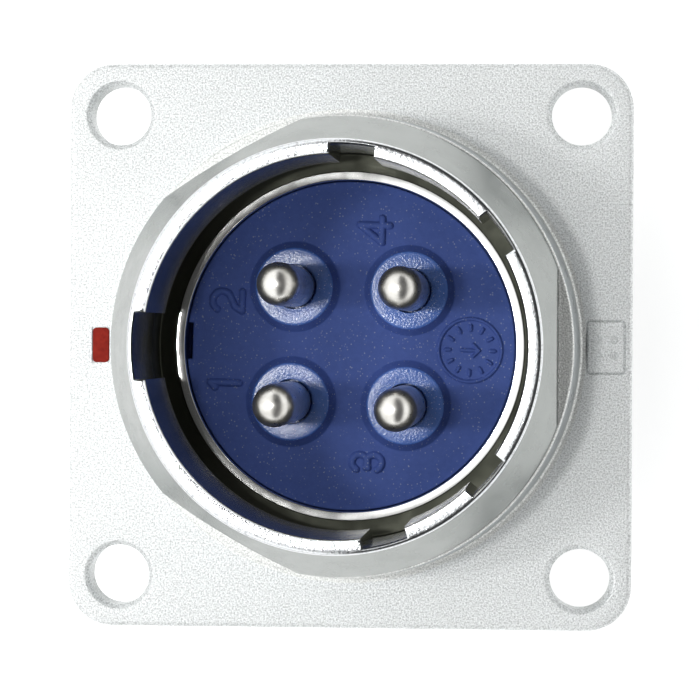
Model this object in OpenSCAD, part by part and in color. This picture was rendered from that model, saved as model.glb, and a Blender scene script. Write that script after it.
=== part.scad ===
// Panel receptacle of a circular power connector: square flange, four ball-nosed pins.
// Frame: Z is the mating axis, +Z towards the plug. The origin is on the axis, in the
// plane of the flange's rear face, which lies on the panel. The main key is at -X.

/* [Flange] */
// Width across the square flange
flange_w = 34; // [33:0.5:40]
// Thickness of the flange
flange_t = 2; // [1.6:0.1:3]
// Radius of the flange corners
flange_corner_r = 2.7; // [2.4:0.1:3]
// Rounding of the flange edges, front and back
flange_edge_r = 0.3; // [0.1:0.05:0.5]
// Distance of the screw holes from the flange's edges
hole_inset = 3.1; // [2.8:0.1:3.4]
// Diameter of the screw holes
hole_d = 3.6; // [3:0.1:3.8]
// Width of the countersunk edge round each screw hole
hole_lead = 0.27; // [0.1:0.01:0.4]
// Width of the red index mark, across the axis
index_len = 2.1; // [1.5:0.1:3]
// Width of the red index mark, along the radius
index_w = 1; // [0.6:0.1:1.1]
// Distance of the index mark's middle from the flange's edge
index_inset = 1.93; // [1.7:0.01:2]
// Depth of the index mark's recess
index_depth = 0.15; // [0.1:0.01:0.3]
// Width of the raised frame on the flange
badge_w = 2.4; // [1.8:0.1:2.6]
// Height of the raised frame on the flange
badge_len = 3.3; // [2.5:0.1:4]
// Distance of the frame's middle from the flange's edge
badge_inset = 1.6; // [1.5:0.05:1.7]
// Height that the frame and its pips stand out of the flange
badge_h = 0.1; // [0.05:0.01:0.2]

/* [Pedestal and barrel] */
// Diameter of the pedestal at the flange
boss_foot_d = 27.8; // [27.4:0.1:28.2]
// Diameter of the pedestal at its top
boss_top_d = 27; // [26.9:0.05:27.3]
// Height of the pedestal above the flange
boss_h = 5.3; // [4.5:0.1:6]
// Rounding of the pedestal's top edge
boss_edge_r = 0.15; // [0.05:0.01:0.18]
// Diameter of the turned collar
collar_d = 26.6; // [26:0.1:26.6]
// Height of the turned collar
collar_h = 1.8; // [1:0.1:2.4]
// Distance from the axis to each of the three flats on the collar
flat_reach = 12.5; // [12.2:0.05:12.9]
// Diameter of the rim
rim_d = 23.5; // [23.5:0.1:24]
// Height of the rim above the flange's front face
rim_h = 11; // [10.4:0.1:13]
// Rounding of the rim's outer edge
rim_edge_r = 0.2; // [0.05:0.05:0.3]
// Diameter inside the lip
lip_d = 21.7; // [21.2:0.05:22]
// Height of the lip's lower edge above the flange's front face
lip_low_h = 3.3; // [2:0.1:5]
// Diameter at the bottom of the key notches
key_d = 22.86; // [22.6:0.02:23]
// Width of the main key notch
main_key_w = 3.8; // [3:0.1:4.5]
// Width of the side key notches
side_key_w = 2.55; // [2:0.05:3]
// Diameter of the lock groove under the lip
groove_d = 23.2; // [23:0.1:24.5]
// Depth of the lock groove's floor below the flange's front face
floor_drop = 0.5; // [0.3:0.05:0.8]
// Fall of the groove's floor towards the axis
floor_fall = 0.06; // [0.02:0.01:0.1]
// Width of the bevel where the floor meets the insert's bore
land_bevel = 0.18; // [0.1:0.02:0.3]

/* [Rear barrel] */
// Diameter of the rear barrel, which passes through the panel
rear_d = 24.5; // [24.2:0.1:25]
// Length of the rear barrel behind the flange
rear_len = 17; // [16.5:0.5:22]
// Wall of the rear barrel, round the bore that takes the insert from behind
rear_wall = 1.45; // [1.2:0.05:1.8]
// Step from the rear barrel to its hub, which fills the middle of the flange
hub_step = 0.25; // [0.2:0.05:0.6]
// Depth of the insert's seat behind the panel face
seat_depth = 3; // [2.5:0.1:4]
// Bevel at the open end of the rear barrel
rear_bevel = 0.4; // [0.2:0.05:0.6]

/* [Insert] */
// Diameter of the insert in the front bore
insert_d = 19.9; // [19.5:0.1:20]
// Depth of the insert's face below the flange's front face
face_drop = 0.96; // [0.9:0.02:1.2]
// Radial clearance of the insert and of all that follows it into the shell
insert_play = 0.05; // [0.02:0.01:0.08]
// Turn of the insert in the shell, within the play of its slot
insert_turn = -1.7; // [-1.8:0.1:1.8]
// Width of the insert's locating slot
slot_w = 2.2; // [2:0.1:3]
// Depth of the insert's locating slot
slot_depth = 0.35; // [0.25:0.05:0.5]
// Side clearance of the shell's rib in that slot
slot_play = 0.35; // [0.35:0.01:0.5]
// Thickness of the front insulator's flange
front_flange_t = 3; // [2.5:0.1:4]
// Thickness of the rear insulator
rear_insulator_t = 3.5; // [3:0.1:5]
// Thickness of the rubber disc between the insulators
gasket_t = 0.8; // [0.5:0.1:1.2]
// Diameter of a tower at its foot
tower_foot_d = 5.5; // [5.2:0.1:6]
// Diameter of a tower's flat top
tower_top_d = 4.6; // [4.2:0.1:5]
// Height of a tower
tower_h = 0.6; // [0.4:0.1:1]
// Stroke width of the contact numbers
stroke_w = 0.4; // [0.3:0.05:0.45]
// Height that the contact numbers stand out
stroke_h = 0.15; // [0.1:0.01:0.3]
// Outer diameter of the ring mark on the insert
ring_mark_d = 4; // [3:0.1:4.2]
// Thickness of the seal's cord
seal_cord_d = 1.1; // [0.9:0.05:1.3]

/* [Contacts] */
// Pitch of the four contacts, both ways
pin_pitch = 6.95; // [6.6:0.05:7.2]
// Diameter of a pin
pin_d = 2.5; // [2:0.1:2.8]
// Height of the pin tips above the flange's front face
pin_tip_h = 10.05; // [8:0.05:10.3]
// Diameter of a pin's neck, inside the front insulator
pin_neck_d = 2; // [1.6:0.05:2]
// Diametral clearance of a pin where it passes through the front insulator
pin_hole_play = 0.2; // [0.1:0.05:0.4]
// Diameter of the collar that seats a pin
pin_collar_d = 4.6; // [4.4:0.1:4.8]
// Thickness of that collar
pin_collar_t = 1.6; // [1:0.1:2]
// Diameter of the solder cup
cup_d = 3.4; // [3.2:0.1:3.7]
// Diameter of the solder cup's bore
cup_bore_d = 2.4; // [1.8:0.1:2.6]
// Depth of the solder cup's bore
cup_depth = 3.9; // [3:0.1:4]
// Distance of the cups from the rear barrel's open end
cup_setback = 1.5; // [0.5:0.1:1.9]
// Length of the scoop in the cup's side
scoop_len = 2; // [1:0.1:2.4]
// Diametral clearance of a cup in the gasket and the rear insulator
cup_hole_play = 0.2; // [0.1:0.05:0.3]
// Outer diameter of a contact clip
clip_d = 5.4; // [5:0.1:5.8]
// Thickness of a contact clip
clip_t = 0.5; // [0.4:0.05:0.7]
// Depth of the clip's groove in a contact
clip_groove = 0.25; // [0.2:0.01:0.3]

/* [Retaining ring] */
// Thickness of the thrust washer
washer_t = 0.6; // [0.4:0.1:1]
// Width of the thrust washer's ring
washer_w = 1.65; // [1.4:0.05:2]
// Thickness of the retaining ring
ring_t = 1; // [0.8:0.1:1.2]
// Depth of the retaining ring's groove in the rear bore
ring_groove = 0.5; // [0.4:0.05:0.6]
// Width of the retaining ring's section
ring_w = 1.3; // [1.1:0.1:1.6]
// Gap between the ring's ends
ring_gap = 5; // [4:0.5:7]
// Diameter of the plier holes in the ring's lugs
plier_hole_d = 1.2; // [0.8:0.1:1.3]

/* [Hidden] */

$fn = 96;
eps = 0.01;
over = 1;

// Angles of the side keys, counted from the main key
side_keys = [105, 140, 215, 265];
main_key_at = 180;
flats_at = [0, 120, 240];

// Places on the flange
hole_pitch = flange_w - 2 * hole_inset;
index_reach = flange_w / 2 - index_inset;
badge_reach = flange_w / 2 - badge_inset;

// Heights
face_z = flange_t;
boss_top_z = face_z + boss_h;
collar_top_z = boss_top_z + collar_h;
rim_z = face_z + rim_h;
lip_low_z = face_z + lip_low_h;
floor_z = face_z - floor_drop;
insert_z = face_z - face_drop;
tower_z = insert_z + tower_h;
seat_z = -seat_depth;
gasket_z = seat_z - front_flange_t;
rear_insulator_z = gasket_z - gasket_t;
washer_z = rear_insulator_z - rear_insulator_t;
ring_z = washer_z - washer_t;
ring_low_z = ring_z - ring_t;
cup_low_z = cup_setback - rear_len;
pin_tip_z = face_z + pin_tip_h;

// Radii and clearances
hub_r = rear_d / 2 + hub_step;
rear_bore_r = rear_d / 2 - rear_wall;
rear_fit_r = rear_bore_r - insert_play;
front_bore_r = insert_d / 2 + insert_play;
gasket_r = rear_fit_r - 0.1;
clip_bore_d = cup_d - 2 * clip_groove + 0.1;
ring_r = rear_bore_r + ring_groove - 0.1;
ring_groove_play = 0.05;
lip_lead = 0.12;
seat_gap = 0.02;

// The seal's groove in the front insulator
seal_r = rear_bore_r - seat_gap - seal_cord_d / 2;
seal_groove_r = seal_r - seal_cord_d / 2 - seat_gap;
seal_mid_z = seat_z - front_flange_t / 2;

// Contact numbers: each contact's place, and each number's place on the face
pin_at = [[-1, -1], [-1, 1], [1, -1], [1, 1]] * (pin_pitch / 2);
number_edge = insert_d / 2 - 2.4;
number_side = insert_d / 2 - 2.95;
number_off = pin_pitch / 2 - 1;
number_at = [[-number_edge, -number_off], [-number_edge, number_off], [1.25, -number_side], [1.25, number_side]];
number_size = [1.17, 1.8];

// Points of an arc, for outlines
function arc(x, y, r, from, to, steps = 4) =
    [for (i = [0 : steps]) let (a = from + (to - from) * i / steps) [x + r * cos(a), y + r * sin(a)]];

// ---- Strokes of the marks ----

module bar(a, b, w) {
    dx = b[0] - a[0];
    dy = b[1] - a[1];
    translate(a) rotate(atan2(dy, dx)) translate([0, -w / 2]) square([norm([dx, dy]), w]);
    translate(a) circle(d = w, $fn = 20);
    translate(b) circle(d = w, $fn = 20);
}

module bow(c, r, from, to, w) {
    reach = 2 * (r + w);
    translate(c) intersection() {
        difference() {
            circle(r = r + w / 2, $fn = 40);
            circle(r = r - w / 2, $fn = 40);
        }
        polygon(concat([[0, 0]], arc(0, 0, reach, from, to, 8)));
    }
    for (a = [from, to]) translate(c + r * [cos(a), sin(a)]) circle(d = w, $fn = 20);
}

module numeral(n, w) {
    r = number_size[0] / 2;
    h = number_size[1];
    if (n == 1) {
        bar([r, 0], [r, h], w);
        bar([r, h], [r - 0.3, h - 0.3], w);
    }
    if (n == 2) {
        bow([r, h - r], r, -50, 150, w);
        bar([r + r * cos(-50), h - r + r * sin(-50)], [r * 0.45, r * 0.75], w);
        bar([r * 0.45, r * 0.75], [0, 0], w);
        bar([0, 0], [2 * r, 0], w);
    }
    if (n == 3) {
        q = h / 4 + 0.02;
        bow([r, h - q], q, -130, 155, w);
        bow([r, q], q, -155, 130, w);
    }
    if (n == 4) {
        stem_x = r * 1.6;
        bar([stem_x, 0], [stem_x, h], w);
        bar([stem_x, h], [-0.1, h / 4], w);
        bar([-0.1, h / 4], [stem_x + 0.42, h / 4], w);
    }
}

// A number laid flat, centred, with its top towards -X
module number_mark(n, w) {
    rotate(90) translate([-number_size[0] / 2, -number_size[1] / 2]) numeral(n, w);
}

// A moulder's plain dial: a ring, twelve ticks and a pointer
module ring_mark() {
    line_w = 0.2;
    tick_len = 0.3;
    mark_r = ring_mark_d / 2;
    difference() {
        circle(r = mark_r, $fn = 64);
        circle(r = mark_r - line_w, $fn = 64);
    }
    for (i = [0 : 11]) {
        rotate(30 * i) translate([mark_r - line_w - 2 * tick_len, -line_w / 2]) square([tick_len, line_w]);
    }
    bar([-0.55, 0], [0.55, 0], line_w);
    bar([0.55, 0], [0.2, 0.35], line_w);
    bar([0.55, 0], [0.2, -0.35], line_w);
}

// ---- Shell ----

// Section of the flange plate, width w, with rounded edges
module plate_section(w) {
    e = flange_edge_r;
    h = w / 2;
    polygon(concat(
        arc(h - e, e, e, -90, 0),
        arc(h - e, flange_t - e, e, 0, 90),
        arc(e - h, flange_t - e, e, 90, 180),
        arc(e - h, e, e, 180, 270)));
}

module flange_plate() {
    r = flange_corner_r;
    e = flange_edge_r;
    inner = flange_w / 2 - r;
    for (turn = [0, 90]) {
        rotate([90, 0, turn]) linear_extrude(2 * inner, center = true) plate_section(flange_w);
    }
    for (x = [-inner, inner], y = [-inner, inner]) {
        translate([x, y, 0]) rotate_extrude() polygon(concat(
            [[0, 0]],
            arc(r - e, e, e, -90, 0),
            arc(r - e, flange_t - e, e, 0, 90),
            [[0, flange_t]]));
    }
}

module front_outside() {
    top_r = boss_top_d / 2;
    rotate_extrude() polygon(concat(
        [[0, face_z], [boss_foot_d / 2, face_z]],
        arc(top_r - boss_edge_r, boss_top_z - boss_edge_r, boss_edge_r, 0, 90),
        [[collar_d / 2, boss_top_z], [collar_d / 2, collar_top_z]],
        arc(rim_d / 2 - rim_edge_r, rim_z - rim_edge_r, rim_edge_r, 20, 90),
        [[0, rim_z]]));
}

// The rear barrel widens to a hub that fills the middle of the flange
module rear_outside() {
    rotate_extrude() polygon([
        [0, face_z], [hub_r, face_z], [hub_r, 0], [rear_d / 2, 0], [rear_d / 2, rear_bevel - rear_len],
        [rear_d / 2 - rear_bevel, -rear_len], [0, -rear_len]]);
}

// Everything inside the shell: lip, lock groove, insert bore, rear bore, ring groove
module shell_inside() {
    lip_r = lip_d / 2;
    land_r = front_bore_r + land_bevel;
    land_z = floor_z - floor_fall;
    rotate_extrude() polygon([
        [0, rim_z + over], [lip_r + lip_lead + over, rim_z + over], [lip_r + lip_lead, rim_z],
        [lip_r, rim_z - lip_lead], [lip_r, lip_low_z],
        [groove_d / 2, lip_low_z], [groove_d / 2, floor_z],
        [land_r, land_z], [front_bore_r, land_z - land_bevel], [front_bore_r, seat_z],
        [rear_bore_r, seat_z], [rear_bore_r, ring_z + ring_groove_play],
        [rear_bore_r + ring_groove, ring_z + ring_groove_play],
        [rear_bore_r + ring_groove, ring_low_z], [rear_bore_r, ring_low_z],
        [rear_bore_r, rear_bevel - rear_len], [rear_bore_r + rear_bevel, -rear_len],
        [rear_bore_r + rear_bevel, -rear_len - over], [0, -rear_len - over]]);
}

// Key notches: parallel-sided cuts through the lip, down to the lock groove
module key_notches() {
    mid_z = (rim_z + lip_low_z) / 2;
    depth = rim_z - lip_low_z;
    intersection() {
        translate([0, 0, lip_low_z - eps]) cylinder(d = key_d, h = depth + over);
        union() {
            for (i = [-1 : len(side_keys) - 1]) {
                w = i < 0 ? main_key_w : side_key_w;
                at = i < 0 ? 0 : side_keys[i];
                rotate(main_key_at + at) translate([lip_d / 4, -w / 2, lip_low_z - over])
                    cube([key_d / 2, w, depth + 3 * over]);
            }
        }
    }
}

module screw_holes() {
    for (x = [-1, 1], y = [-1, 1]) translate([x, y, 0] * (hole_pitch / 2)) {
        translate([0, 0, -over]) cylinder(d = hole_d, h = flange_t + 2 * over, $fn = 48);
        translate([0, 0, face_z - hole_lead])
            cylinder(d1 = hole_d, d2 = hole_d + 4 * hole_lead, h = 2 * hole_lead, $fn = 48);
    }
}

module collar_flats() {
    for (a = flats_at) {
        rotate(a) translate([flat_reach, -flange_w / 2, boss_top_z]) cube([flange_w, flange_w, rim_h]);
    }
}

module index_recess() {
    wall_gap = 0.02;
    translate([-index_reach, 0, face_z - index_depth / 2 + over / 2])
        cube([index_w + wall_gap, index_len + wall_gap, index_depth + over], center = true);
}

// The raised frame on the flange, with one pip for each contact
module badge() {
    line_w = 0.14;
    corner_r = 0.3;
    pip_d = 0.42;
    pip_pitch = 0.95;
    translate([badge_reach, 0, face_z - eps]) linear_extrude(badge_h + eps) {
        difference() {
            round_rect(badge_w, badge_len, corner_r);
            round_rect(badge_w - 2 * line_w, badge_len - 2 * line_w, corner_r - line_w);
        }
        for (x = [-1, 1], y = [-1, 1]) translate([x, y] * (pip_pitch / 2)) circle(d = pip_d, $fn = 24);
    }
}

module round_rect(w, h, r) {
    square([w, h - 2 * r], center = true);
    square([w - 2 * r, h], center = true);
    for (x = [-1, 1], y = [-1, 1]) translate([x * (w / 2 - r), y * (h / 2 - r)]) circle(r = r, $fn = 32);
}

// Rib in the front bore that the insert's slot slides over
module locating_rib() {
    rib_w = slot_w - 2 * slot_play;
    rib_h = slot_depth - 0.1;
    root = 0.3;
    rib_top_z = 0;
    translate([-front_bore_r - root, -rib_w / 2, seat_z])
        cube([root + rib_h, rib_w, rib_top_z - seat_z]);
}

module flange() {
    color("silver") {
        difference() {
            flange_plate();
            translate([0, 0, -over]) cylinder(r = hub_r, h = flange_t + 2 * over);
            shell_inside();
            screw_holes();
            index_recess();
        }
        badge();
    }
}

module front_barrel() {
    color("silver") difference() {
        front_outside();
        collar_flats();
        shell_inside();
        key_notches();
    }
}

module rear_barrel() {
    color("silver") {
        difference() {
            rear_outside();
            shell_inside();
        }
        locating_rib();
    }
}

module index_mark() {
    color("firebrick") translate([-index_reach, 0, face_z - index_depth / 2])
        cube([index_w, index_len, index_depth], center = true);
}

// ---- Insert ----

// Places a child at contact i, counted from 1, turned with the insert
module at_contact(i) {
    rotate(insert_turn) translate(pin_at[i - 1]) children();
}

module front_insulator() {
    slot_reach = insert_d / 2 - slot_depth;
    pocket_z = gasket_z + pin_collar_t;
    color("#3a4687") rotate(insert_turn) difference() {
        union() {
            rotate_extrude() polygon([
                [0, insert_z], [insert_d / 2, insert_z], [insert_d / 2, seat_z], [rear_fit_r, seat_z],
                [rear_fit_r, seal_mid_z + seal_cord_d / 2 + seat_gap],
                [seal_groove_r, seal_mid_z + seal_cord_d / 2 + seat_gap],
                [seal_groove_r, seal_mid_z - seal_cord_d / 2 - seat_gap],
                [rear_fit_r, seal_mid_z - seal_cord_d / 2 - seat_gap],
                [rear_fit_r, gasket_z], [0, gasket_z]]);
            for (p = pin_at) translate(p) rotate_extrude() polygon([
                [0, insert_z - eps], [tower_foot_d / 2, insert_z - eps], [tower_foot_d / 2, insert_z],
                [tower_top_d / 2, tower_z], [0, tower_z]]);
            translate([0, 0, insert_z - eps]) linear_extrude(stroke_h + eps) {
                for (n = [1 : 4]) translate(number_at[n - 1]) number_mark(n, stroke_w);
                translate([insert_d / 2 - ring_mark_d / 2 - 0.7, 0]) ring_mark();
            }
        }
        for (p = pin_at) translate(p) {
            translate([0, 0, gasket_z - over])
                cylinder(d = pin_d + pin_hole_play, h = tower_z - gasket_z + 2 * over);
            translate([0, 0, gasket_z - over]) cylinder(d = pin_collar_d + 0.1, h = pocket_z - gasket_z + over);
        }
        translate([-slot_reach - over, -slot_w / 2, seat_z]) cube([over, slot_w, insert_z - seat_z + over]);
    }
}

module insulator_gasket() {
    color("#202022") rotate(insert_turn) translate([0, 0, rear_insulator_z]) difference() {
        cylinder(r = gasket_r, h = gasket_t);
        for (p = pin_at) translate([p[0], p[1], -over]) cylinder(d = cup_d + cup_hole_play, h = gasket_t + 2 * over);
    }
}

module rear_insulator() {
    color("#3a4687") rotate(insert_turn) difference() {
        translate([0, 0, washer_z]) cylinder(r = rear_fit_r, h = rear_insulator_t);
        for (p = pin_at) translate([p[0], p[1], washer_z - over])
            cylinder(d = cup_d + cup_hole_play, h = rear_insulator_t + 2 * over);
        rear_numbers(washer_z - eps);
    }
}

// The contact numbers again, sunk in the rear face and read from behind
module rear_numbers(z) {
    sunk = 0.2;
    line_w = 0.3;
    reach = pin_pitch / 2 + 3.4;
    translate([0, 0, z]) linear_extrude(sunk + eps) for (n = [1 : 4]) {
        side = pin_at[n - 1][0] > 0 ? 1 : -1;
        translate([side * reach, pin_at[n - 1][1]]) mirror([1, 0]) rotate(-90)
            translate(-number_size / 2) numeral(n, line_w);
    }
}

module shell_seal() {
    color("#202022") rotate_extrude() translate([seal_r, seal_mid_z]) circle(d = seal_cord_d, $fn = 32);
}

// ---- Contacts ----

module contact_pin(i) {
    pin_r = pin_d / 2;
    neck_r = pin_neck_d / 2;
    neck_z = tower_z + 0.1;
    collar_z = gasket_z + pin_collar_t;
    clip_low_z = washer_z - clip_t - 0.05;
    cup_r = cup_d / 2;
    outward = atan2(pin_at[i - 1][1], pin_at[i - 1][0]);
    color("gainsboro") at_contact(i) {
        difference() {
            rotate_extrude() polygon(concat(
                [[0, cup_low_z], [cup_r, cup_low_z], [cup_r, clip_low_z], [cup_r - clip_groove, clip_low_z],
                 [cup_r - clip_groove, washer_z], [cup_r, washer_z], [cup_r, gasket_z],
                 [pin_collar_d / 2, gasket_z], [pin_collar_d / 2, collar_z], [neck_r, collar_z],
                 [neck_r, neck_z], [pin_r, neck_z], [pin_r, pin_tip_z - pin_r], [0, pin_tip_z - pin_r]]));
            translate([0, 0, cup_low_z - over]) cylinder(d = cup_bore_d, h = cup_depth + over);
            rotate(outward) translate([cup_r / 3, -cup_r, cup_low_z - over]) cube([cup_r, cup_d, scoop_len + over]);
        }
        translate([0, 0, pin_tip_z - pin_r]) sphere(r = pin_r);
    }
}

// Split ring that snaps into a contact's groove behind the rear insulator
module contact_clip(i) {
    mouth = clip_bore_d * 0.8;
    outward = atan2(pin_at[i - 1][1], pin_at[i - 1][0]);
    color("darkgray") at_contact(i) translate([0, 0, washer_z - clip_t]) difference() {
        cylinder(d = clip_d, h = clip_t);
        translate([0, 0, -over]) cylinder(d = clip_bore_d, h = clip_t + 2 * over);
        rotate(outward) translate([0, -mouth / 2, -over]) cube([clip_d, mouth, clip_t + 2 * over]);
    }
}

// ---- Retaining parts ----

module thrust_washer() {
    color("lightgray") translate([0, 0, ring_z]) difference() {
        cylinder(r = rear_fit_r, h = washer_t);
        translate([0, 0, -over]) cylinder(r = rear_fit_r - washer_w, h = washer_t + 2 * over);
    }
}

// Internal snap ring: an open ring with a drilled lug at each end
module retaining_ring() {
    lug_d = plier_hole_d + 1.2;
    lug_reach = ring_r - ring_w - 0.1;
    lug_half = asin((ring_gap / 2 + lug_d / 2) / lug_reach);
    color("dimgray") translate([0, 0, ring_low_z]) difference() {
        union() {
            difference() {
                cylinder(r = ring_r, h = ring_t);
                translate([0, 0, -over]) cylinder(r = ring_r - ring_w, h = ring_t + 2 * over);
                translate([0, -ring_gap / 2, -over]) cube([ring_r + over, ring_gap, ring_t + 2 * over]);
            }
            for (side = [-1, 1]) rotate(side * lug_half) translate([lug_reach, 0, 0]) cylinder(d = lug_d, h = ring_t);
        }
        for (side = [-1, 1]) rotate(side * lug_half) translate([lug_reach, 0, -over])
            cylinder(d = plier_hole_d, h = ring_t + 2 * over, $fn = 32);
    }
}

flange();
front_barrel();
rear_barrel();
front_insulator();
insulator_gasket();
rear_insulator();
shell_seal();
contact_pin(1);  // contact_pin_1
contact_pin(2);  // contact_pin_2
contact_pin(3);  // contact_pin_3
contact_pin(4);  // contact_pin_4
contact_clip(1);  // contact_clip_1
contact_clip(2);  // contact_clip_2
contact_clip(3);  // contact_clip_3
contact_clip(4);  // contact_clip_4
thrust_washer();
retaining_ring();
index_mark();
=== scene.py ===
"""Looks of the four-pin panel receptacle.

Fine meshes replace the shell, the front moulding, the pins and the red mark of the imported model. They lie in
the model's own frame: +Z points towards the plug and the main key is at -X. The finishes, the floor, two
lamps, a pale tent and the camera follow. Sizes are in millimetres unless a name or a comment says otherwise;
Skin.build() makes them metres.
"""
import math

import bmesh
import bpy
import numpy as np
from mathutils import Matrix, Vector
from mathutils.geometry import delaunay_2d_cdt


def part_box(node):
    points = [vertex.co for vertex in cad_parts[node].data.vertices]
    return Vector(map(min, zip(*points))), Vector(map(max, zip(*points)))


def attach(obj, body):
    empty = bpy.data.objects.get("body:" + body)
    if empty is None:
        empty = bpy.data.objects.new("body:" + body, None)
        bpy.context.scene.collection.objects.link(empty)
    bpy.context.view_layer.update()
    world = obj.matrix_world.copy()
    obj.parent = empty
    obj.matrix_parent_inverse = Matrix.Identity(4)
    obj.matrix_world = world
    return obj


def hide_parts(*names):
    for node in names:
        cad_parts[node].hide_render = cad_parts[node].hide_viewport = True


MM = 0.001
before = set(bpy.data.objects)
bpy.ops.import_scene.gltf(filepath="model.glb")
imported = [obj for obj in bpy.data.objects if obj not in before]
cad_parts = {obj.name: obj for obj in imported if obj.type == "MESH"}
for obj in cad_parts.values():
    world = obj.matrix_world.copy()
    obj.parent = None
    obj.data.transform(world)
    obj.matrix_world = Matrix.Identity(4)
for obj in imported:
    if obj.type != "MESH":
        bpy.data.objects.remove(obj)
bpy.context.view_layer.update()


def box_mm(node_name):
    low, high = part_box(node_name)
    return np.array(low) / MM, np.array(high) / MM


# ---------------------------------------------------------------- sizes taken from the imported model
FLANGE_HIGH = box_mm("flange")[1]
FRONT_LOW, FRONT_HIGH = box_mm("front_barrel")
REAR_LOW, REAR_HIGH = box_mm("rear_barrel")
MARK_LOW, MARK_HIGH = box_mm("index_mark")
HALF = FLANGE_HIGH[0]  # half of the flange's side
FACE_Z = FRONT_LOW[2]  # front face of the flange; its rear face is at 0
RIM_Z = FRONT_HIGH[2]
END_Z = REAR_LOW[2]
FOOT_R = FRONT_HIGH[1]  # pedestal at its foot

PINS = []  # x, y and height of each tip
for number in range(1, 5):
    pin_low, pin_high = box_mm(f"contact_pin_{number}")
    PINS.append(((pin_low[0] + pin_high[0]) / 2, (pin_low[1] + pin_high[1]) / 2, pin_high[2]))

# ---------------------------------------------------------------- sizes that no box gives
FINE = 0.05  # rounding of small edges, and the gap between nested pieces
NEAR_AXIS = 0.01  # radius that closes a revolved shape

# flange
FLANGE_EDGE = 0.3  # rounding of its edges
CORNER_R = 2.7
HOLE_AT = HALF - 3.1  # screw holes, from the middle
HOLE_R = 1.8
MOUTH_BEVEL = 0.27  # at the front of a screw hole
MOUTH_REACH = 0.45  # how far the mouth's mesh goes past the hole
REAR_BEVEL = 0.06
REAR_REACH = 0.3
MARK_MIDDLE, MARK_HALF = (MARK_HIGH + MARK_LOW)[:2] / 2, (MARK_HIGH - MARK_LOW)[:2] / 2
MARK_GAP = 0.05  # between the index mark and its recess
MARK_DEPTH = 0.15
MARK_CORNER = 0.24
MARK_PROFILE = [(0.0, MARK_DEPTH), (0.0, 0.06), (0.03, 0.02), (0.1, 0.0), (0.25, 0.0)]  # inset, depth

# sunk frame with four dimples, beside the pedestal
BADGE_X = HALF - 1.6
BADGE_W, BADGE_L = 1.2, 1.65  # half sizes
BADGE_CORNER = 0.3
FRAME_W = 0.17
FRAME_DEPTH = 0.13
FRAME_SHOULDER = 0.1  # depth half way down each side
PIP_AT = 0.475
PIP_R = 0.24
PIP_PROFILE = [(PIP_R, 0.0), (0.9 * PIP_R, 0.07), (0.55 * PIP_R, 0.11), (0.001, 0.12)]  # radius, depth

# pedestal, collar with three flats, tapered barrel and rim
FOOT_REACH = 0.35  # how far the foot's fillet goes past the pedestal
PEDESTAL_Z = FACE_Z + 5.3
PEDESTAL_TOP_R = FOOT_R - 0.4
WALL_LOW_Z, WALL_HIGH_Z = FACE_Z + 0.2, PEDESTAL_Z - 0.12  # its side, between the roundings
COLLAR_Z = PEDESTAL_Z + 1.8
COLLAR_R = 13.3
COLLAR_FOOT = [(0.08, 0.0), (0.02, 0.03), (0.0, 0.09)]  # out from the collar, up from the pedestal
COLLAR_BEVEL = 0.05
CONE_STEP = 0.02  # the cone starts this far inside the collar
FLAT = 12.5  # from the axis to a flat
FLAT_ANGLES = (0, 120, 240)
RIM_R = 11.75
RIM_EDGE = 0.2
RIM_SLOPE, RIM_SAG = 0.03, 0.055  # fall of the rim's top, per mm inwards and per mm squared
LEAD = 0.12  # width of the bevel from the rim's top into the lip
LEAD_SHARE, LEAD_STEP = 0.65, 0.03  # ring between: share of the bevel's width from the lip, depth
LEAD_DEPTH = 0.16
LEAD_GAP = 0.01  # left between the bevel and the rim's rounded edge

# lip, key notches and lock groove
LIP_R = 10.85
LIP_LOW_Z = FACE_Z + 3.3
KEY_R = 11.43
NOTCHES = [(180, 3.8)] + [(180 + turn, 2.55) for turn in (105, 140, 215, 265)]  # angle, width
GROOVE_R = 11.6
FLOOR_Z = FACE_Z - 0.5
GROOVE_Z = FLOOR_Z - 0.12

# bores and rear barrel
LAND_FOOT_R = 10.55
LAND_OUT_R, LAND_OUT_Z = 10.5, FLOOR_Z - 0.045
LAND_R, LAND_Z = 10.06, FLOOR_Z - 0.063
BORE_R, BORE_Z = 10.0, FLOOR_Z - 0.2
SEAT_Z = -3.0  # where the insert's shoulder rests
REAR_BORE_R = 10.8
RING_TOP_Z, RING_LOW_Z = -10.85, -11.9  # groove of the retaining ring
RING_DEPTH = 0.5
REAR_EDGE = 0.4
HUB_STEP = 0.25  # the hub in the flange is this much wider than the rear barrel
REAR_R = REAR_HIGH[1] - HUB_STEP
REAR_OPENING_R = REAR_R + 0.01  # in the flange's rear face
REAR_TUCK = 0.02  # the rear barrel's outside ends this far below the flange's front face

# insert
INSERT_R = 9.95
INSERT_Z = FACE_Z - 0.96
INSERT_EDGE = [(0.12, 0.0), (0.06, 0.02), (0.015, 0.06), (0.0, 0.12)]  # in from the edge, down from the face
INSERT_TURN = math.radians(-1.7)  # it sits a little turned in the shell
INSERT_BACK_Z = -6.0
SLOT_HALF = 1.1  # half width of the locating slot
SLOT_DEPTH = 0.35
TOWER_AT = 3.475
TOWER_H = 0.6
TOWER_R, TOWER_FOOT_R, TOWER_TOP_R = 2.9, 2.74, 2.3
TOWER_HOLE_R, TOWER_HOLE_DEPTH = 1.35, 1.5
TOWER_GLOSS_AND_HIGHLIGHT_R = 2.45  # inside this radius the towers are glossier, and painted lighter with bright specks as painted highlight
NUMBER_AT = [(-7.55, -2.475), (-7.55, 2.475), (1.25, -7.0), (1.25, 7.0)]
NUMERAL_R, NUMERAL_H = 0.585, 1.8  # half width and height
NUMERAL_LINE = (0.2, 0.15)  # half width and height of a stroke
DIAL_AT = (INSERT_R - 2.7, 0.0)
DIAL_R = 1.9
DIAL_LINE = (0.1, 0.12)
TICK_IN, TICK_OUT = 1.22, 1.5
ARROW = 0.55  # half length
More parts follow.
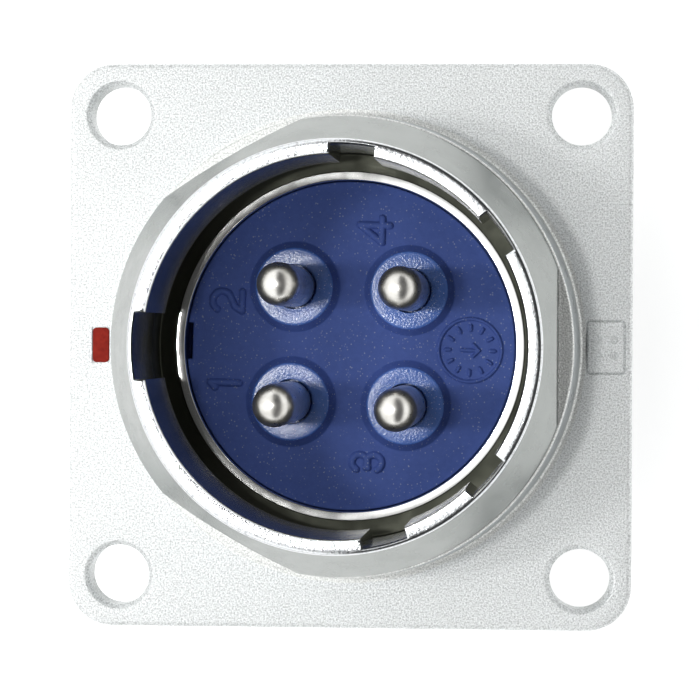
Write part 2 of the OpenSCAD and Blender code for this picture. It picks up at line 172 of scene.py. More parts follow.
ARROW_BARB = 0.35
STROKE_LIFT = 1.5  # strokes are raised by this factor, so that they read under soft light
RELIEF_GRIDS = [(NUMBER_AT, (1.3, 1.1), 0.045), ([DIAL_AT], (2.2, 2.2), 0.05)]  # places, half sizes, step
RELIEF_INSET, RELIEF_GAP = 0.2, 0.06  # from the insert's edge and from the towers

# contacts
PIN_R = 1.25
NECK_R, NECK_Z = 1.0, INSERT_Z + TOWER_H + 0.1
SHOULDER_R, SHOULDER_TOP_Z = 2.3, -4.4
TAIL_R = 1.7
CLIP_R, CLIP_TOP_Z, CLIP_LOW_Z = 1.45, -10.3, -10.85
CUP_R, CUP_DEPTH = 1.2, 3.9
CUP_LIP_Z = END_Z + 1.5

# tent, as the lean of a direction (sideways over up), low and high end of each soft edge of its dark gap
TENT_GAP_LEFT = (-0.115, -0.075)
TENT_GAP_RIGHT = (0.95, 1.2)
TENT_GAP_FAR = (1.8, 3.5)
TENT_GAP_LIGHT = 0.04  # what is left of the tent's light there
TENT_LOW, TENT_HIGH = 0.2, 1.34  # strength at the horizon and overhead


# ---------------------------------------------------------------- mesh helpers
class Skin:
    """A mesh gathered from lofted rings and flat patches."""

    def __init__(self):
        self.points, self.faces, self.finishes, self.count = [], [], [], 0

    def add(self, points, faces, finishes):
        points = np.asarray(points, float)
        self.points.append(points)
        self.faces += [tuple(int(i) + self.count for i in face) for face in faces]
        self.finishes += list(finishes)
        self.count += len(points)

    def loft(self, rings, finish):
        """Closed rings of one length, joined by quads. finish is one material, or one for each strip."""
        n = len(rings[0])
        strips = finish if isinstance(finish, list) else [finish] * (len(rings) - 1)
        here, after = np.arange(n), (np.arange(n) + 1) % n
        faces, finishes = [], []
        for k, strip in enumerate(strips):
            a, b = k * n, (k + 1) * n
            faces += list(zip(a + here, a + after, b + after, b + here))
            finishes += [strip] * n
        self.add(np.vstack(rings), faces, finishes)

    def patch(self, loops, finish, z=0.0, points=(), height=None, down=False):
        """A patch between loops, by the even-odd rule, with extra points inside where it has relief."""
        corners, edges = [], []
        for loop in loops:
            first = len(corners)
            corners += [Vector((float(p[0]), float(p[1]))) for p in loop]
            edges += [(first + i, first + (i + 1) % len(loop)) for i in range(len(loop))]
        corners += [Vector((float(p[0]), float(p[1]))) for p in points]
        flat, _, triangles, *_ = delaunay_2d_cdt(corners, edges, [], 0, 1e-6)
        xy = np.array([(p[0], p[1]) for p in flat])
        triangles = np.array([t for t in triangles if len(t) == 3])
        middles = xy[triangles].mean(1)
        inside = np.zeros(len(middles), bool)
        for loop in loops:
            inside ^= in_loop(middles, np.asarray(loop)[:, :2])
        triangles = triangles[inside]
        a, b, c = (xy[triangles[:, k]] for k in range(3))
        area = (b[:, 0] - a[:, 0]) * (c[:, 1] - a[:, 1]) - (b[:, 1] - a[:, 1]) * (c[:, 0] - a[:, 0])
        flip = (area < 0) != down
        triangles[flip] = triangles[flip][:, ::-1]
        zz = np.full(len(xy), float(z)) if height is None else height(xy)
        self.add(np.column_stack([xy, zz]), triangles, [finish] * len(triangles))

    def build(self, name, sharp_degrees=35):
        """The Blender object, in metres, smooth but for edges past sharp_degrees."""
        slots = {finish: k for k, finish in enumerate(dict.fromkeys(self.finishes))}
        mesh = bpy.data.meshes.new(name)
        mesh.from_pydata((np.vstack(self.points) * MM).tolist(), [], self.faces)
        for finish in slots:
            mesh.materials.append(finish)
        mesh.polygons.foreach_set("material_index", [slots[finish] for finish in self.finishes])
        ob = bpy.data.objects.new(name, mesh)
        bpy.context.scene.collection.objects.link(ob)
        weld(mesh)
        mesh.polygons.foreach_set("use_smooth", [True] * len(mesh.polygons))
        mesh.set_sharp_from_angle(angle=math.radians(sharp_degrees))
        mesh.update()
        return ob


def weld(mesh):
    """Joins points that coincide. Distances in metres."""
    bm = bmesh.new()
    bm.from_mesh(mesh)
    bmesh.ops.remove_doubles(bm, verts=bm.verts, dist=2e-7)
    bmesh.ops.dissolve_degenerate(bm, edges=bm.edges, dist=1e-7)
    bm.to_mesh(mesh)
    bm.free()


def in_loop(p, loop):
    """Which points lie inside a closed loop."""
    x, y = p[:, 0], p[:, 1]
    inside = np.zeros(len(p), bool)
    x0, y0 = loop[-1]
    for x1, y1 in loop:
        crosses = (y1 > y) != (y0 > y)
        with np.errstate(divide="ignore", invalid="ignore"):
            at = (x0 - x1) * (y - y1) / (y0 - y1) + x1
        inside ^= crosses & (x < at)
        x0, y0 = x1, y1
    return inside


def arc(cx, cy, r, start, end, steps):
    a = np.radians(np.linspace(start, end, steps + 1))
    return np.column_stack([cx + r * np.cos(a), cy + r * np.sin(a)])


def circle(r, n, cx=0.0, cy=0.0):
    a = np.arange(n) * 2 * math.pi / n
    return np.column_stack([cx + r * np.cos(a), cy + r * np.sin(a)])


def at_z(loop, z):
    return np.column_stack([loop, np.full(len(loop), float(z))])


def rounded_square(half, r, per_side=24, per_corner=16):
    """Outline with points along its sides too, so that loft and patch share them."""
    inner = half - r
    corners = [(inner, inner), (-inner, inner), (-inner, -inner), (inner, -inner)]
    pieces = []
    for k, (cx, cy) in enumerate(corners):
        turned_to = 90 * k + 90
        pieces.append(arc(cx, cy, r, 90 * k, turned_to, per_corner)[:-1])
        nx, ny = corners[(k + 1) % 4]
        start = arc(cx, cy, r, turned_to, turned_to, 1)[0]
        end = arc(nx, ny, r, turned_to, turned_to, 1)[0]
        pieces.append(start + (end - start) * np.linspace(0, 1, per_side, endpoint=False)[:, None])
    return np.vstack(pieces)


def rounded_rect(w, l, r, cx, cy, per_corner=10):
    """Outline from its half sizes, with points only in its corners."""
    centres = [(w - r, l - r, 0), (-(w - r), l - r, 90), (-(w - r), -(l - r), 180), (w - r, -(l - r), 270)]
    return np.vstack([arc(cx + x, cy + y, r, a, a + 90, per_corner) for x, y, a in centres])


def corner_profile(points, steps):
    """A profile from rows of radius, height and the rounding of that corner."""
    p = [np.array(row[:2], float) for row in points]
    out = [p[0]]
    for k in range(1, len(p) - 1):
        rounding = points[k][2]
        if not rounding:
            out.append(p[k])
            continue
        u, v = p[k - 1] - p[k], p[k + 1] - p[k]
        u_length, v_length = np.linalg.norm(u), np.linalg.norm(v)
        u, v = u / u_length, v / v_length
        half = math.acos(max(-1, min(1, float(u @ v)))) / 2
        if half > math.radians(89):
            out.append(p[k])
            continue
        back_off = min(rounding / math.tan(half), 0.49 * u_length, 0.49 * v_length)
        r = back_off * math.tan(half)
        centre = p[k] + (u + v) / np.linalg.norm(u + v) * r / math.sin(half)
        a, b = p[k] + u * back_off - centre, p[k] + v * back_off - centre
        start, end = math.atan2(a[1], a[0]), math.atan2(b[1], b[0])
        while end - start > math.pi:
            end -= 2 * math.pi
        while end - start < -math.pi:
            end += 2 * math.pi
        out += [centre + r * np.array([math.cos(t), math.sin(t)]) for t in np.linspace(start, end, steps + 1)]
    out.append(p[-1])
    return out


def revolve(profile, n, cx=0.0, cy=0.0):
    """Rings of n points for a profile of radius and height."""
    return [at_z(circle(r, n, cx, cy), z) for r, z in profile]


# ---------------------------------------------------------------- shader helpers
def material(name):
    """A new material: itself, its node tree, its Principled shader and its object coordinates."""
    m = bpy.data.materials.new(name)
    m.use_nodes = True
    nt = m.node_tree
    nt.nodes.clear()
    out = nt.nodes.new("ShaderNodeOutputMaterial")
    bsdf = nt.nodes.new("ShaderNodeBsdfPrincipled")
    nt.links.new(bsdf.outputs[0], out.inputs[0])
    place = nt.nodes.new("ShaderNodeTexCoord").outputs["Object"]
    return m, nt, bsdf, place


def node(nt, kind, inputs=None, **props):
    """Adds a node; an input that is a socket is linked, and any other is set."""
    n = nt.nodes.new(kind)
    for key, value in props.items():
        setattr(n, key, value)
    for key, value in (inputs or {}).items():
        if isinstance(value, bpy.types.NodeSocket):
            nt.links.new(value, n.inputs[key])
        else:
            n.inputs[key].default_value = value
    return n


def maths(nt, operation, a, b=0.0):
    return node(nt, "ShaderNodeMath", {0: a, 1: b}, operation=operation).outputs[0]


def noise(nt, place, cell_mm, detail, rough=0.5, stretch=None):
    if stretch:
        place = node(nt, "ShaderNodeVectorMath", {0: place, 1: stretch}, operation="MULTIPLY").outputs[0]
    inputs = {"Vector": place, "Scale": 1 / (cell_mm * MM), "Detail": detail, "Roughness": rough}
    return node(nt, "ShaderNodeTexNoise", inputs).outputs["Fac"]


def cells(nt, place, cell_mm):
    inputs = {"Vector": place, "Scale": 1 / (cell_mm * MM)}
    return node(nt, "ShaderNodeTexVoronoi", inputs).outputs["Distance"]


def ramp(nt, fac, stops):
    """A ramp between two stops of position and colour."""
    r = node(nt, "ShaderNodeValToRGB", {"Fac": fac})
    for element, (position, colour) in zip(r.color_ramp.elements, stops):
        element.position = position
        element.color = (*colour, 1)
    return r.outputs["Color"]


def spread(nt, fac, low, high, to_low=0.0, to_high=1.0):
    """Maps low..high to to_low..to_high, and clamps outside."""
    inputs = {"Value": fac, "From Min": low, "From Max": high, "To Min": to_low, "To Max": to_high}
    return node(nt, "ShaderNodeMapRange", inputs).outputs[0]


def mixed(nt, fac, a, b):
    n = nt.nodes.new("ShaderNodeMix")
    n.data_type = "RGBA"
    nt.links.new(fac, n.inputs[0])
    for key, value in ((6, a), (7, b)):  # the colour sockets of this node
        if isinstance(value, bpy.types.NodeSocket):
            nt.links.new(value, n.inputs[key])
        else:
            n.inputs[key].default_value = (*value, 1)
    return n.outputs[2]


def bumped(nt, height, depth_mm, strength=1.0, under=None):
    inputs = {"Height": height, "Distance": depth_mm * MM, "Strength": strength}
    if under is not None:
        inputs["Normal"] = under
    return node(nt, "ShaderNodeBump", inputs).outputs[0]


def scaled(tint, factor):
    """The tint times factor, no channel above 1."""
    return tuple(min(1.0, factor * channel) for channel in tint)


# ---------------------------------------------------------------- finishes
def blasted(name, tint, roughness):
    """Shot-blasted and plated: fine grain over shallow pits."""
    m, nt, bsdf, place = material(name)
    grain = noise(nt, place, cell_mm=0.1, detail=2.0, rough=0.65)
    pits = noise(nt, place, cell_mm=0.2, detail=2.0, rough=0.6)
    cloud = noise(nt, place, cell_mm=3.0, detail=3.0, rough=0.55)
    tone = mixed(nt, spread(nt, grain, 0.36, 0.62), scaled(tint, 0.72), scaled(tint, 1.24))
    tone = mixed(nt, spread(nt, cloud, 0.3, 0.7, to_high=0.1), tone, (0.6, 0.61, 0.6))
    nt.links.new(tone, bsdf.inputs["Base Color"])
    bsdf.inputs["Metallic"].default_value = 0.66
    nt.links.new(spread(nt, grain, 0.3, 0.7, roughness + 0.1, roughness - 0.1), bsdf.inputs["Roughness"])
    grained = bumped(nt, grain, depth_mm=0.03)
    nt.links.new(bumped(nt, pits, depth_mm=0.03, strength=0.6, under=grained), bsdf.inputs["Normal"])
    return m


def turned(name, tint, roughness, ring_depth=0.0008, wave_depth=0.002, crinkle_depth=0.0):
    """Turned and plated: rings along the axis, a slow wave, and a crinkled skin where its depth is given."""
    m, nt, bsdf, place = material(name)
    rings = noise(nt, place, cell_mm=1.0, detail=3.0, rough=0.6, stretch=(0.02, 0.02, 20.0))
    cloud = noise(nt, place, cell_mm=1.6, detail=3.0, rough=0.55)
    tone = mixed(nt, spread(nt, cloud, 0.35, 0.7, to_high=0.1), tint, scaled(tint, 0.86))
    normal = bumped(nt, rings, ring_depth)
    normal = bumped(nt, noise(nt, place, cell_mm=0.5, detail=3.0), wave_depth, under=normal)
    if crinkle_depth:
        skin = noise(nt, place, cell_mm=0.2, detail=4.0, rough=0.65)
        tone = mixed(nt, spread(nt, skin, 0.36, 0.46, to_low=0.45, to_high=0.0), tone, (0.3, 0.31, 0.33))
        normal = bumped(nt, skin, crinkle_depth, under=normal)
    nt.links.new(tone, bsdf.inputs["Base Color"])
    bsdf.inputs["Metallic"].default_value = 1.0
    nt.links.new(spread(nt, cloud, 0.3, 0.7, roughness * 0.8, roughness * 1.25), bsdf.inputs["Roughness"])
    nt.links.new(normal, bsdf.inputs["Normal"])
    return m


def plastic(name, tint, dark, roughness, specular, grain_depth, grain_detail, speck_mm, speck):
    """Moulded thermoset: mottled, with pale specks where a slow noise lets them through."""
    m, nt, bsdf, place = material(name)
    mottle = noise(nt, place, cell_mm=0.5, detail=5.0, rough=0.75)
    tone = mixed(nt, spread(nt, mottle, 0.34, 0.66), dark, tint)
    dots = spread(nt, cells(nt, place, speck_mm), 0.10, 0.25, to_low=1.0, to_high=0.0)
    gate = spread(nt, noise(nt, place, cell_mm=0.3, detail=1.0), 0.4, 0.58)
    tone = mixed(nt, maths(nt, "MULTIPLY", dots, gate), tone, speck)
    nt.links.new(tone, bsdf.inputs["Base Color"])
    nt.links.new(spread(nt, mottle, 0.3, 0.7, roughness - 0.04, roughness + 0.05), bsdf.inputs["Roughness"])
    bsdf.inputs["Specular IOR Level"].default_value = specular
    grain = noise(nt, place, cell_mm=0.12, detail=grain_detail, rough=0.6)
    nt.links.new(bumped(nt, grain, grain_depth), bsdf.inputs["Normal"])
    return m


def rubber(name):
    m, nt, bsdf, place = material(name)
    grain = noise(nt, place, cell_mm=0.25, detail=3.0, rough=0.6)
    tone = ramp(nt, grain, [(0.3, (0.012, 0.012, 0.012)), (0.75, (0.028, 0.028, 0.028))])
    nt.links.new(tone, bsdf.inputs["Base Color"])
    bsdf.inputs["Roughness"].default_value = 0.65
    nt.links.new(bumped(nt, grain, depth_mm=0.01), bsdf.inputs["Normal"])
    return m


def silvered(name):
    """Silver plating with a faint tarnish, over turned rings."""
    m, nt, bsdf, place = material(name)
    cloud = noise(nt, place, cell_mm=0.8, detail=4.0, rough=0.6)
    rings = noise(nt, place, cell_mm=1.0, detail=2.0, rough=0.6, stretch=(0.02, 0.02, 16.0))
    tone = mixed(nt, spread(nt, cloud, 0.35, 0.7), (0.80, 0.785, 0.75), (0.62, 0.60, 0.56))
    nt.links.new(tone, bsdf.inputs["Base Color"])
    bsdf.inputs["Metallic"].default_value = 1.0
    nt.links.new(spread(nt, cloud, 0.3, 0.7, 0.26, 0.36), bsdf.inputs["Roughness"])
    ringed = bumped(nt, rings, depth_mm=0.0012)
    fine = noise(nt, place, cell_mm=0.25, detail=3.0)
    nt.links.new(bumped(nt, fine, depth_mm=0.0016, under=ringed), bsdf.inputs["Normal"])
    return m


def steel(name):
    m, nt, bsdf, place = material(name)
    grain = noise(nt, place, cell_mm=0.5, detail=4.0, rough=0.6, stretch=(1.0, 1.0, 0.2))
    tone = ramp(nt, grain, [(0.3, (0.36, 0.36, 0.37)), (0.7, (0.52, 0.52, 0.53))])
    nt.links.new(tone, bsdf.inputs["Base Color"])
    bsdf.inputs["Metallic"].default_value = 1.0
    nt.links.new(spread(nt, grain, 0.3, 0.7, 0.25, 0.42), bsdf.inputs["Roughness"])
    nt.links.new(bumped(nt, grain, depth_mm=0.004), bsdf.inputs["Normal"])
    return m


def enamel(name):
    m, nt, bsdf, place = material(name)
    mottle = noise(nt, place, cell_mm=0.5, detail=3.0, rough=0.6)
    tone = ramp(nt, mottle, [(0.3, (0.19, 0.012, 0.008)), (0.7, (0.30, 0.024, 0.014))])
    nt.links.new(tone, bsdf.inputs["Base Color"])
    bsdf.inputs["Roughness"].default_value = 0.75
    bsdf.inputs["Specular IOR Level"].default_value = 0.1
    nt.links.new(bumped(nt, mottle, depth_mm=0.03), bsdf.inputs["Normal"])
    return m


FLANGE_METAL = blasted("blasted_plating", (0.785, 0.80, 0.80), roughness=0.54)
PEDESTAL_METAL = blasted("blasted_pedestal", (0.80, 0.81, 0.79), roughness=0.45)
WALL_METAL = turned("pedestal_side", (0.53, 0.56, 0.57), 0.3, ring_depth=0.0004, wave_depth=0.0005)
BARREL_METAL = turned("turned_plating", (0.285, 0.30, 0.29), 0.25, wave_depth=0.001)
RIM_METAL = turned("rim_plating", (0.76, 0.775, 0.79), 0.1, crinkle_depth=0.006)
LIP_METAL = turned("inner_plating", (0.27, 0.27, 0.25), 0.16, ring_depth=0.0002, wave_depth=0.0006)
# The lock groove's wall and floor: the plating painted almost black, as painted shade of the deep groove.
GROOVE_SHADE_PAINT = turned("groove_painted_shade", (0.085, 0.088, 0.07), 0.5, ring_depth=0.0002, wave_depth=0.0006)
LAND_METAL = turned("land_plating", (0.80, 0.80, 0.78), 0.075, ring_depth=0.0002, wave_depth=0.0004)
BLUE = plastic("blue_thermoset", (0.074, 0.124, 0.402), (0.063, 0.107, 0.356), roughness=0.6, specular=0.16,
               grain_depth=0.003, grain_detail=3.0, speck_mm=0.21, speck=(0.30, 0.35, 0.50))
# The towers' tops: the same thermoset, glossier, with a lighter colour and bright bluish-white specks that are
# painted highlight and painted glints.
GLOSSY_BLUE_PAINTED_HIGHLIGHT = plastic("blue_thermoset_gloss_painted_highlight", (0.095, 0.205, 0.640), (0.080, 0.175, 0.560),
                      roughness=0.18, specular=0.55, grain_depth=0.013, grain_detail=1.0,
                      speck_mm=0.16, speck=(0.60, 0.70, 1.0))
BLACK_RUBBER = rubber("black_rubber")
SILVER = silvered("silver_plating")
STEEL = steel("zinc_spring_steel")
RED = enamel("red_enamel")


# ---------------------------------------------------------------- front barrel
def lip_contour(grow=0.0):
    """Plan outline of the lip with its parallel-sided key notches, as rows of radius and angle."""
    lip, key = LIP_R + grow, KEY_R + grow
    notches = sorted((math.radians(at) % (2 * math.pi), width / 2 + grow) for at, width in NOTCHES)
    rows = []
    for k, (at, half) in enumerate(notches):
        start_x, end_x = math.sqrt(lip ** 2 - half ** 2), math.sqrt(key ** 2 - half ** 2)
        side = [start_x + t * (end_x - start_x) for t in np.linspace(0, 1, 7)]
        left = [(math.hypot(half, x), math.atan2(half, x)) for x in side]
        rows += [(r, at - a) for r, a in left]
        rows += [(key, at + t * math.asin(half / key)) for t in np.linspace(-1, 1, 41)[1:-1]]
        rows += [(r, at + a) for r, a in left[::-1]]
        next_at, next_half = notches[(k + 1) % len(notches)]
        start, end = at + math.asin(half / lip), next_at - math.asin(next_half / lip)
        if end < start:
            end += 2 * math.pi
        rows += [(lip, start + (end - start) * t) for t in np.linspace(0, 1, 151)[1:-1]]
    return np.array(rows)


LIP, ANGLES = lip_contour().T  # every ring of the front barrel has its points at these angles


def polar(r, angles, z):
    r, z = np.broadcast_to(r, angles.shape), np.broadcast_to(z, angles.shape)
    return np.column_stack([r * np.cos(angles), r * np.sin(angles), z])


def with_flats(r):
    """The radius r at each of ANGLES, cut back at the three flats."""
    out = np.full(len(ANGLES), float(r))
    for flat in FLAT_ANGLES:
        across = np.cos(ANGLES - math.radians(flat))
        out = np.minimum(out, np.where(across > 0.5, FLAT / np.maximum(across, 0.5), np.inf))
    return out


def crown(r):
    """Height of the rim's top, which falls away inwards, more steeply towards the lip."""
    inwards = RIM_R - RIM_EDGE - r
    return RIM_Z - RIM_SLOPE * inwards - RIM_SAG * inwards ** 2


def front_barrel():
    s = Skin()
    pedestal = corner_profile([
        (FOOT_R + FOOT_REACH, FACE_Z, 0), (FOOT_R, FACE_Z, 0.25),
        (PEDESTAL_TOP_R, PEDESTAL_Z, 0.15), (FLAT, PEDESTAL_Z, 0),
    ], 6)[:-1]
    strips = [WALL_METAL if WALL_LOW_Z < (p[1] + q[1]) / 2 < WALL_HIGH_Z else PEDESTAL_METAL
              for p, q in zip(pedestal, pedestal[1:])]
    rings = [polar(r, ANGLES, z) for r, z in pedestal]
    s.loft(rings, strips)
    collar = [polar(with_flats(COLLAR_R) + out, ANGLES, PEDESTAL_Z + up) for out, up in COLLAR_FOOT]
    s.loft([rings[-1], collar[0]], PEDESTAL_METAL)
    collar_levels = np.linspace(PEDESTAL_Z + COLLAR_FOOT[-1][1], COLLAR_Z - COLLAR_BEVEL, 4)
    collar += [polar(with_flats(COLLAR_R), ANGLES, z) for z in collar_levels[1:]]
    cone_radii = np.linspace(COLLAR_R - CONE_STEP, RIM_R, 26)
    cone_levels = np.linspace(COLLAR_Z + COLLAR_BEVEL, RIM_Z - RIM_EDGE, 26)
    cone = [polar(with_flats(r), ANGLES, z) for r, z in zip(cone_radii, cone_levels)]
    s.loft(collar + cone, BARREL_METAL)

    edge_r, edge_z = RIM_R - RIM_EDGE, RIM_Z - RIM_EDGE
    rim = [polar(edge_r + RIM_EDGE * math.cos(t), ANGLES, edge_z + RIM_EDGE * math.sin(t))
           for t in np.radians(np.linspace(0, 90, 7))]
    lead_r, lead_angles = lip_contour(LEAD).T
    lead_r = np.minimum(lead_r, edge_r - LEAD_GAP)
    for t in np.linspace(0, 1, 6)[1:]:
        r = edge_r * (1 - t) + lead_r * t
        rim.append(polar(r, lead_angles, crown(r)))
    rim.append(polar(LIP + (lead_r - LIP) * LEAD_SHARE, ANGLES, crown(lead_r) - LEAD_STEP))
    rim.append(polar(LIP, ANGLES, RIM_Z - LEAD_DEPTH))
    s.loft(rim, RIM_METAL)
    inner = [polar(LIP, ANGLES, z) for z in np.linspace(RIM_Z - LEAD_DEPTH, LIP_LOW_Z, 8)]
    inner += [polar(GROOVE_R, ANGLES, LIP_LOW_Z), polar(GROOVE_R, ANGLES, FACE_Z)]
    # The groove's wall below the lip takes the groove's painted shade.
    s.loft(inner, [LIP_METAL] * (len(inner) - 2) + [GROOVE_SHADE_PAINT])
    return s.build("front_barrel_skin", 28)


# ---------------------------------------------------------------- rear barrel
def rear_barrel():
    """The lock groove's floor, the land round the insert, the bores and the outside behind the flange."""
    s = Skin()
    groove = corner_profile([
        (GROOVE_R, FACE_Z, 0), (GROOVE_R, GROOVE_Z, 0.12), (LAND_FOOT_R, GROOVE_Z, 0.03),
        (LAND_OUT_R, LAND_OUT_Z, 0),
    ], 6)
    land = corner_profile([
        (LAND_OUT_R, LAND_OUT_Z, 0), (LAND_R, LAND_Z, 0.06), (BORE_R, BORE_Z, 0.1), (BORE_R, SEAT_Z, 0),
    ], 6)
    back = corner_profile([
        (BORE_R, SEAT_Z, 0), (REAR_BORE_R, SEAT_Z, 0),
        (REAR_BORE_R, RING_TOP_Z, FINE), (REAR_BORE_R + RING_DEPTH, RING_TOP_Z, FINE),
        (REAR_BORE_R + RING_DEPTH, RING_LOW_Z, FINE), (REAR_BORE_R, RING_LOW_Z, FINE),
        (REAR_BORE_R, END_Z + REAR_EDGE, 0.1), (REAR_BORE_R + REAR_EDGE, END_Z, 0.1),
        (REAR_R - REAR_EDGE, END_Z, 0.1), (REAR_R, END_Z + REAR_EDGE, 0.1),
        (REAR_R, 0.0, 0), (REAR_R, FACE_Z - REAR_TUCK, 0),
    ], 4)
    # The groove's floor takes the groove's painted shade.
    for profile, finish in ((groove, GROOVE_SHADE_PAINT), (land, LAND_METAL), (back, BARREL_METAL)):
        s.loft(revolve(profile, 360), finish)
    return s.build("rear_barrel_skin", 30)


# ---------------------------------------------------------------- flange
def flange_outline(inset):
    return rounded_square(HALF - inset, CORNER_R - inset)


def flange():
    s = Skin()
    rings = []
    for t in np.radians(np.linspace(90, -90, 15)):
        level = FACE_Z - FLANGE_EDGE if t >= 0 else FLANGE_EDGE
        inset = FLANGE_EDGE - FLANGE_EDGE * math.cos(t)
        rings.append(at_z(flange_outline(inset), level + FLANGE_EDGE * math.sin(t)))
    s.loft(rings[::-1], FLANGE_METAL)

    mouth = corner_profile([
        (HOLE_R + MOUTH_REACH, FACE_Z, 0), (HOLE_R + MOUTH_BEVEL, FACE_Z, 0.12),
        (HOLE_R, FACE_Z - MOUTH_BEVEL, 0.15), (HOLE_R, REAR_BEVEL, FINE),
        (HOLE_R + REAR_BEVEL, 0.0, FINE), (HOLE_R + REAR_REACH, 0.0, 0),
    ], 5)
    holes = [(x, y) for x in (-HOLE_AT, HOLE_AT) for y in (-HOLE_AT, HOLE_AT)]
    for x, y in holes:
        s.loft(revolve(mouth, 96, x, y), FLANGE_METAL)
    fronts = [circle(mouth[0][0], 96, x, y) for x, y in holes]
    backs = [circle(mouth[-1][0], 96, x, y) for x, y in holes]

    foot = polar(FOOT_R + FOOT_REACH, ANGLES, FACE_Z)[:, :2]
    corners = np.array([(-1, -1), (1, -1), (1, 1), (-1, 1)])
    recess = MARK_MIDDLE + corners * (MARK_HALF + MARK_GAP)
    frame_out = rounded_rect(BADGE_W, BADGE_L, BADGE_CORNER, BADGE_X, 0)
    frame_in = rounded_rect(BADGE_W - FRAME_W, BADGE_L - FRAME_W, BADGE_CORNER - FRAME_W, BADGE_X, 0)
    pips = [(BADGE_X + x, y) for x in (-PIP_AT, PIP_AT) for y in (-PIP_AT, PIP_AT)]
    inner_loops = [foot, recess, frame_out, frame_in] + [circle(PIP_R, 32, x, y) for x, y in pips]
    s.patch([flange_outline(FLANGE_EDGE)] + inner_loops + fronts, FLANGE_METAL, FACE_Z)
    s.patch([flange_outline(FLANGE_EDGE), circle(REAR_OPENING_R, 240)] + backs, FLANGE_METAL, 0.0, down=True)

    s.loft([at_z(recess, FACE_Z), at_z(recess, FACE_Z - MARK_DEPTH)], FLANGE_METAL)
    s.patch([recess], FLANGE_METAL, FACE_Z - MARK_DEPTH)
    line = (frame_out + frame_in) / 2
    s.loft([at_z(frame_out, FACE_Z), at_z((line + frame_out) / 2, FACE_Z - FRAME_SHOULDER),
            at_z(line, FACE_Z - FRAME_DEPTH), at_z((line + frame_in) / 2, FACE_Z - FRAME_SHOULDER),
            at_z(frame_in, FACE_Z)], FLANGE_METAL)
    for x, y in pips:
        s.loft([at_z(circle(r, 32, x, y), FACE_Z - depth) for r, depth in PIP_PROFILE], FLANGE_METAL)
    return s.build("flange_skin", 32)


def index_mark():
    s = Skin()
    rings = [at_z(rounded_rect(*(MARK_HALF - inset), MARK_CORNER, *MARK_MIDDLE), FACE_Z - depth)
             for inset, depth in MARK_PROFILE]
    s.loft(rings, RED)
    s.patch([rings[-1][:, :2]], RED, FACE_Z)
    return s.build("index_mark_skin", 50)


# ---------------------------------------------------------------- insert
def numeral(n):
    """Centre lines of a contact number, upright, from its lower left corner."""
    r, h = NUMERAL_R, NUMERAL_H
    if n == 1:
        return [np.array([(r - 0.3, h - 0.3), (r, h), (r, 0)])]
    if n == 2:
        bow = arc(r, h - r, r, 150, -50, 26)
        return [np.vstack([bow, [(r * 0.45, r * 0.75), (0, 0), (2 * r, 0)]])]
    if n == 3:
        q = h / 4 + 0.02
        return [arc(r, h - q, q, 155, -130, 26), arc(r, q, q, 130, -155, 26)]
    x = r * 1.6
    return [np.array([(x, 0), (x, h), (-0.1, h / 4), (x + 0.42, h / 4)])]


def strokes():
    """Every raised line on the insert's face: its centre line, half width and height."""
    numbers = []
    for n, (x, y) in enumerate(NUMBER_AT, 1):
        for line in numeral(n):
            right, up = (line - (NUMERAL_R, NUMERAL_H / 2)).T
            numbers.append((np.column_stack([x - up, y + right]), *NUMERAL_LINE))
    ring = circle(DIAL_R, 72)
    dial = [np.vstack([ring, ring[:1]])]
    for angle in np.radians(np.arange(0, 360, 30)):
        way = np.array([math.cos(angle), math.sin(angle)])
        dial.append(np.array([TICK_IN * way, TICK_OUT * way]))
    tip = (ARROW, 0)
    barbs = [(ARROW - ARROW_BARB, ARROW_BARB), (ARROW - ARROW_BARB, -ARROW_BARB)]
    dial += [np.array([(-ARROW, 0), tip])] + [np.array([tip, barb]) for barb in barbs]
    return numbers + [(line + DIAL_AT, *DIAL_LINE) for line in dial]


STROKES = strokes()


def stroke_height(p):
    """Height of the round-topped strokes over the face."""
    out = np.zeros(len(p))
    for line, half, height in STROKES:
        low, high = line.min(0) - half * 2, line.max(0) + half * 2
        near = np.where(((p > low) & (p < high)).all(1))[0]
        if not len(near):
            continue
        q = p[near]
        away = np.full(len(q), np.inf)
        for a, b in zip(line[:-1], line[1:]):
            ab = b - a
            t = np.clip(((q - a) @ ab) / max(ab @ ab, 1e-12), 0, 1)
            away = np.minimum(away, np.linalg.norm(q - (a + t[:, None] * ab), axis=1))
        u = np.clip(1 - (away / (half * 1.1)) ** 2, 0, 1)
        out[near] = np.maximum(out[near], STROKE_LIFT * height * np.sqrt(u) * np.clip(u * 3, 0, 1) ** 0.3)
    return out


def insert_outline(inset, n=360):
    """Circle with the locating slot at -X; every inset has the same points in the same order."""
    r = INSERT_R - inset
    half = SLOT_HALF + inset
    slot_x = -(INSERT_R - SLOT_DEPTH - inset)
    mouth_x = -math.sqrt(r * r - half * half)
    reach = math.pi - math.asin(half / r)
    points = [(r * math.cos(t), r * math.sin(t)) for t in np.linspace(-reach, reach, n)]
    points += [(mouth_x + (slot_x - mouth_x) * t, half) for t in (0.5, 1.0)]
    points += [(slot_x, half * t) for t in np.linspace(1, -1, 12)[1:-1]]
    points += [(slot_x + (mouth_x - slot_x) * t, -half) for t in (0.0, 0.5)]
    return np.array(points)


def round_outline(r):
    """A circle whose points match those of insert_outline."""
    p = insert_outline(0)
    return p / np.linalg.norm(p, axis=1)[:, None] * r


def relief_points(towers):
    """Fine grids under the numbers and the dial, clear of the edge and the towers."""
    grids = []
    for places, (half_x, half_y), step in RELIEF_GRIDS:
        for x, y in places:
            columns, rows = np.arange(x - half_x, x + half_x, step), np.arange(y - half_y, y + half_y, step)
            grid = np.array(np.meshgrid(columns, rows)).reshape(2, -1).T
            grid = grid[np.hypot(*grid.T) < INSERT_R - RELIEF_INSET]
            for tower in towers:
                grid = grid[np.hypot(*(grid - tower).T) > TOWER_R + RELIEF_GAP]
            grids.append(grid)
    return np.vstack(grids)


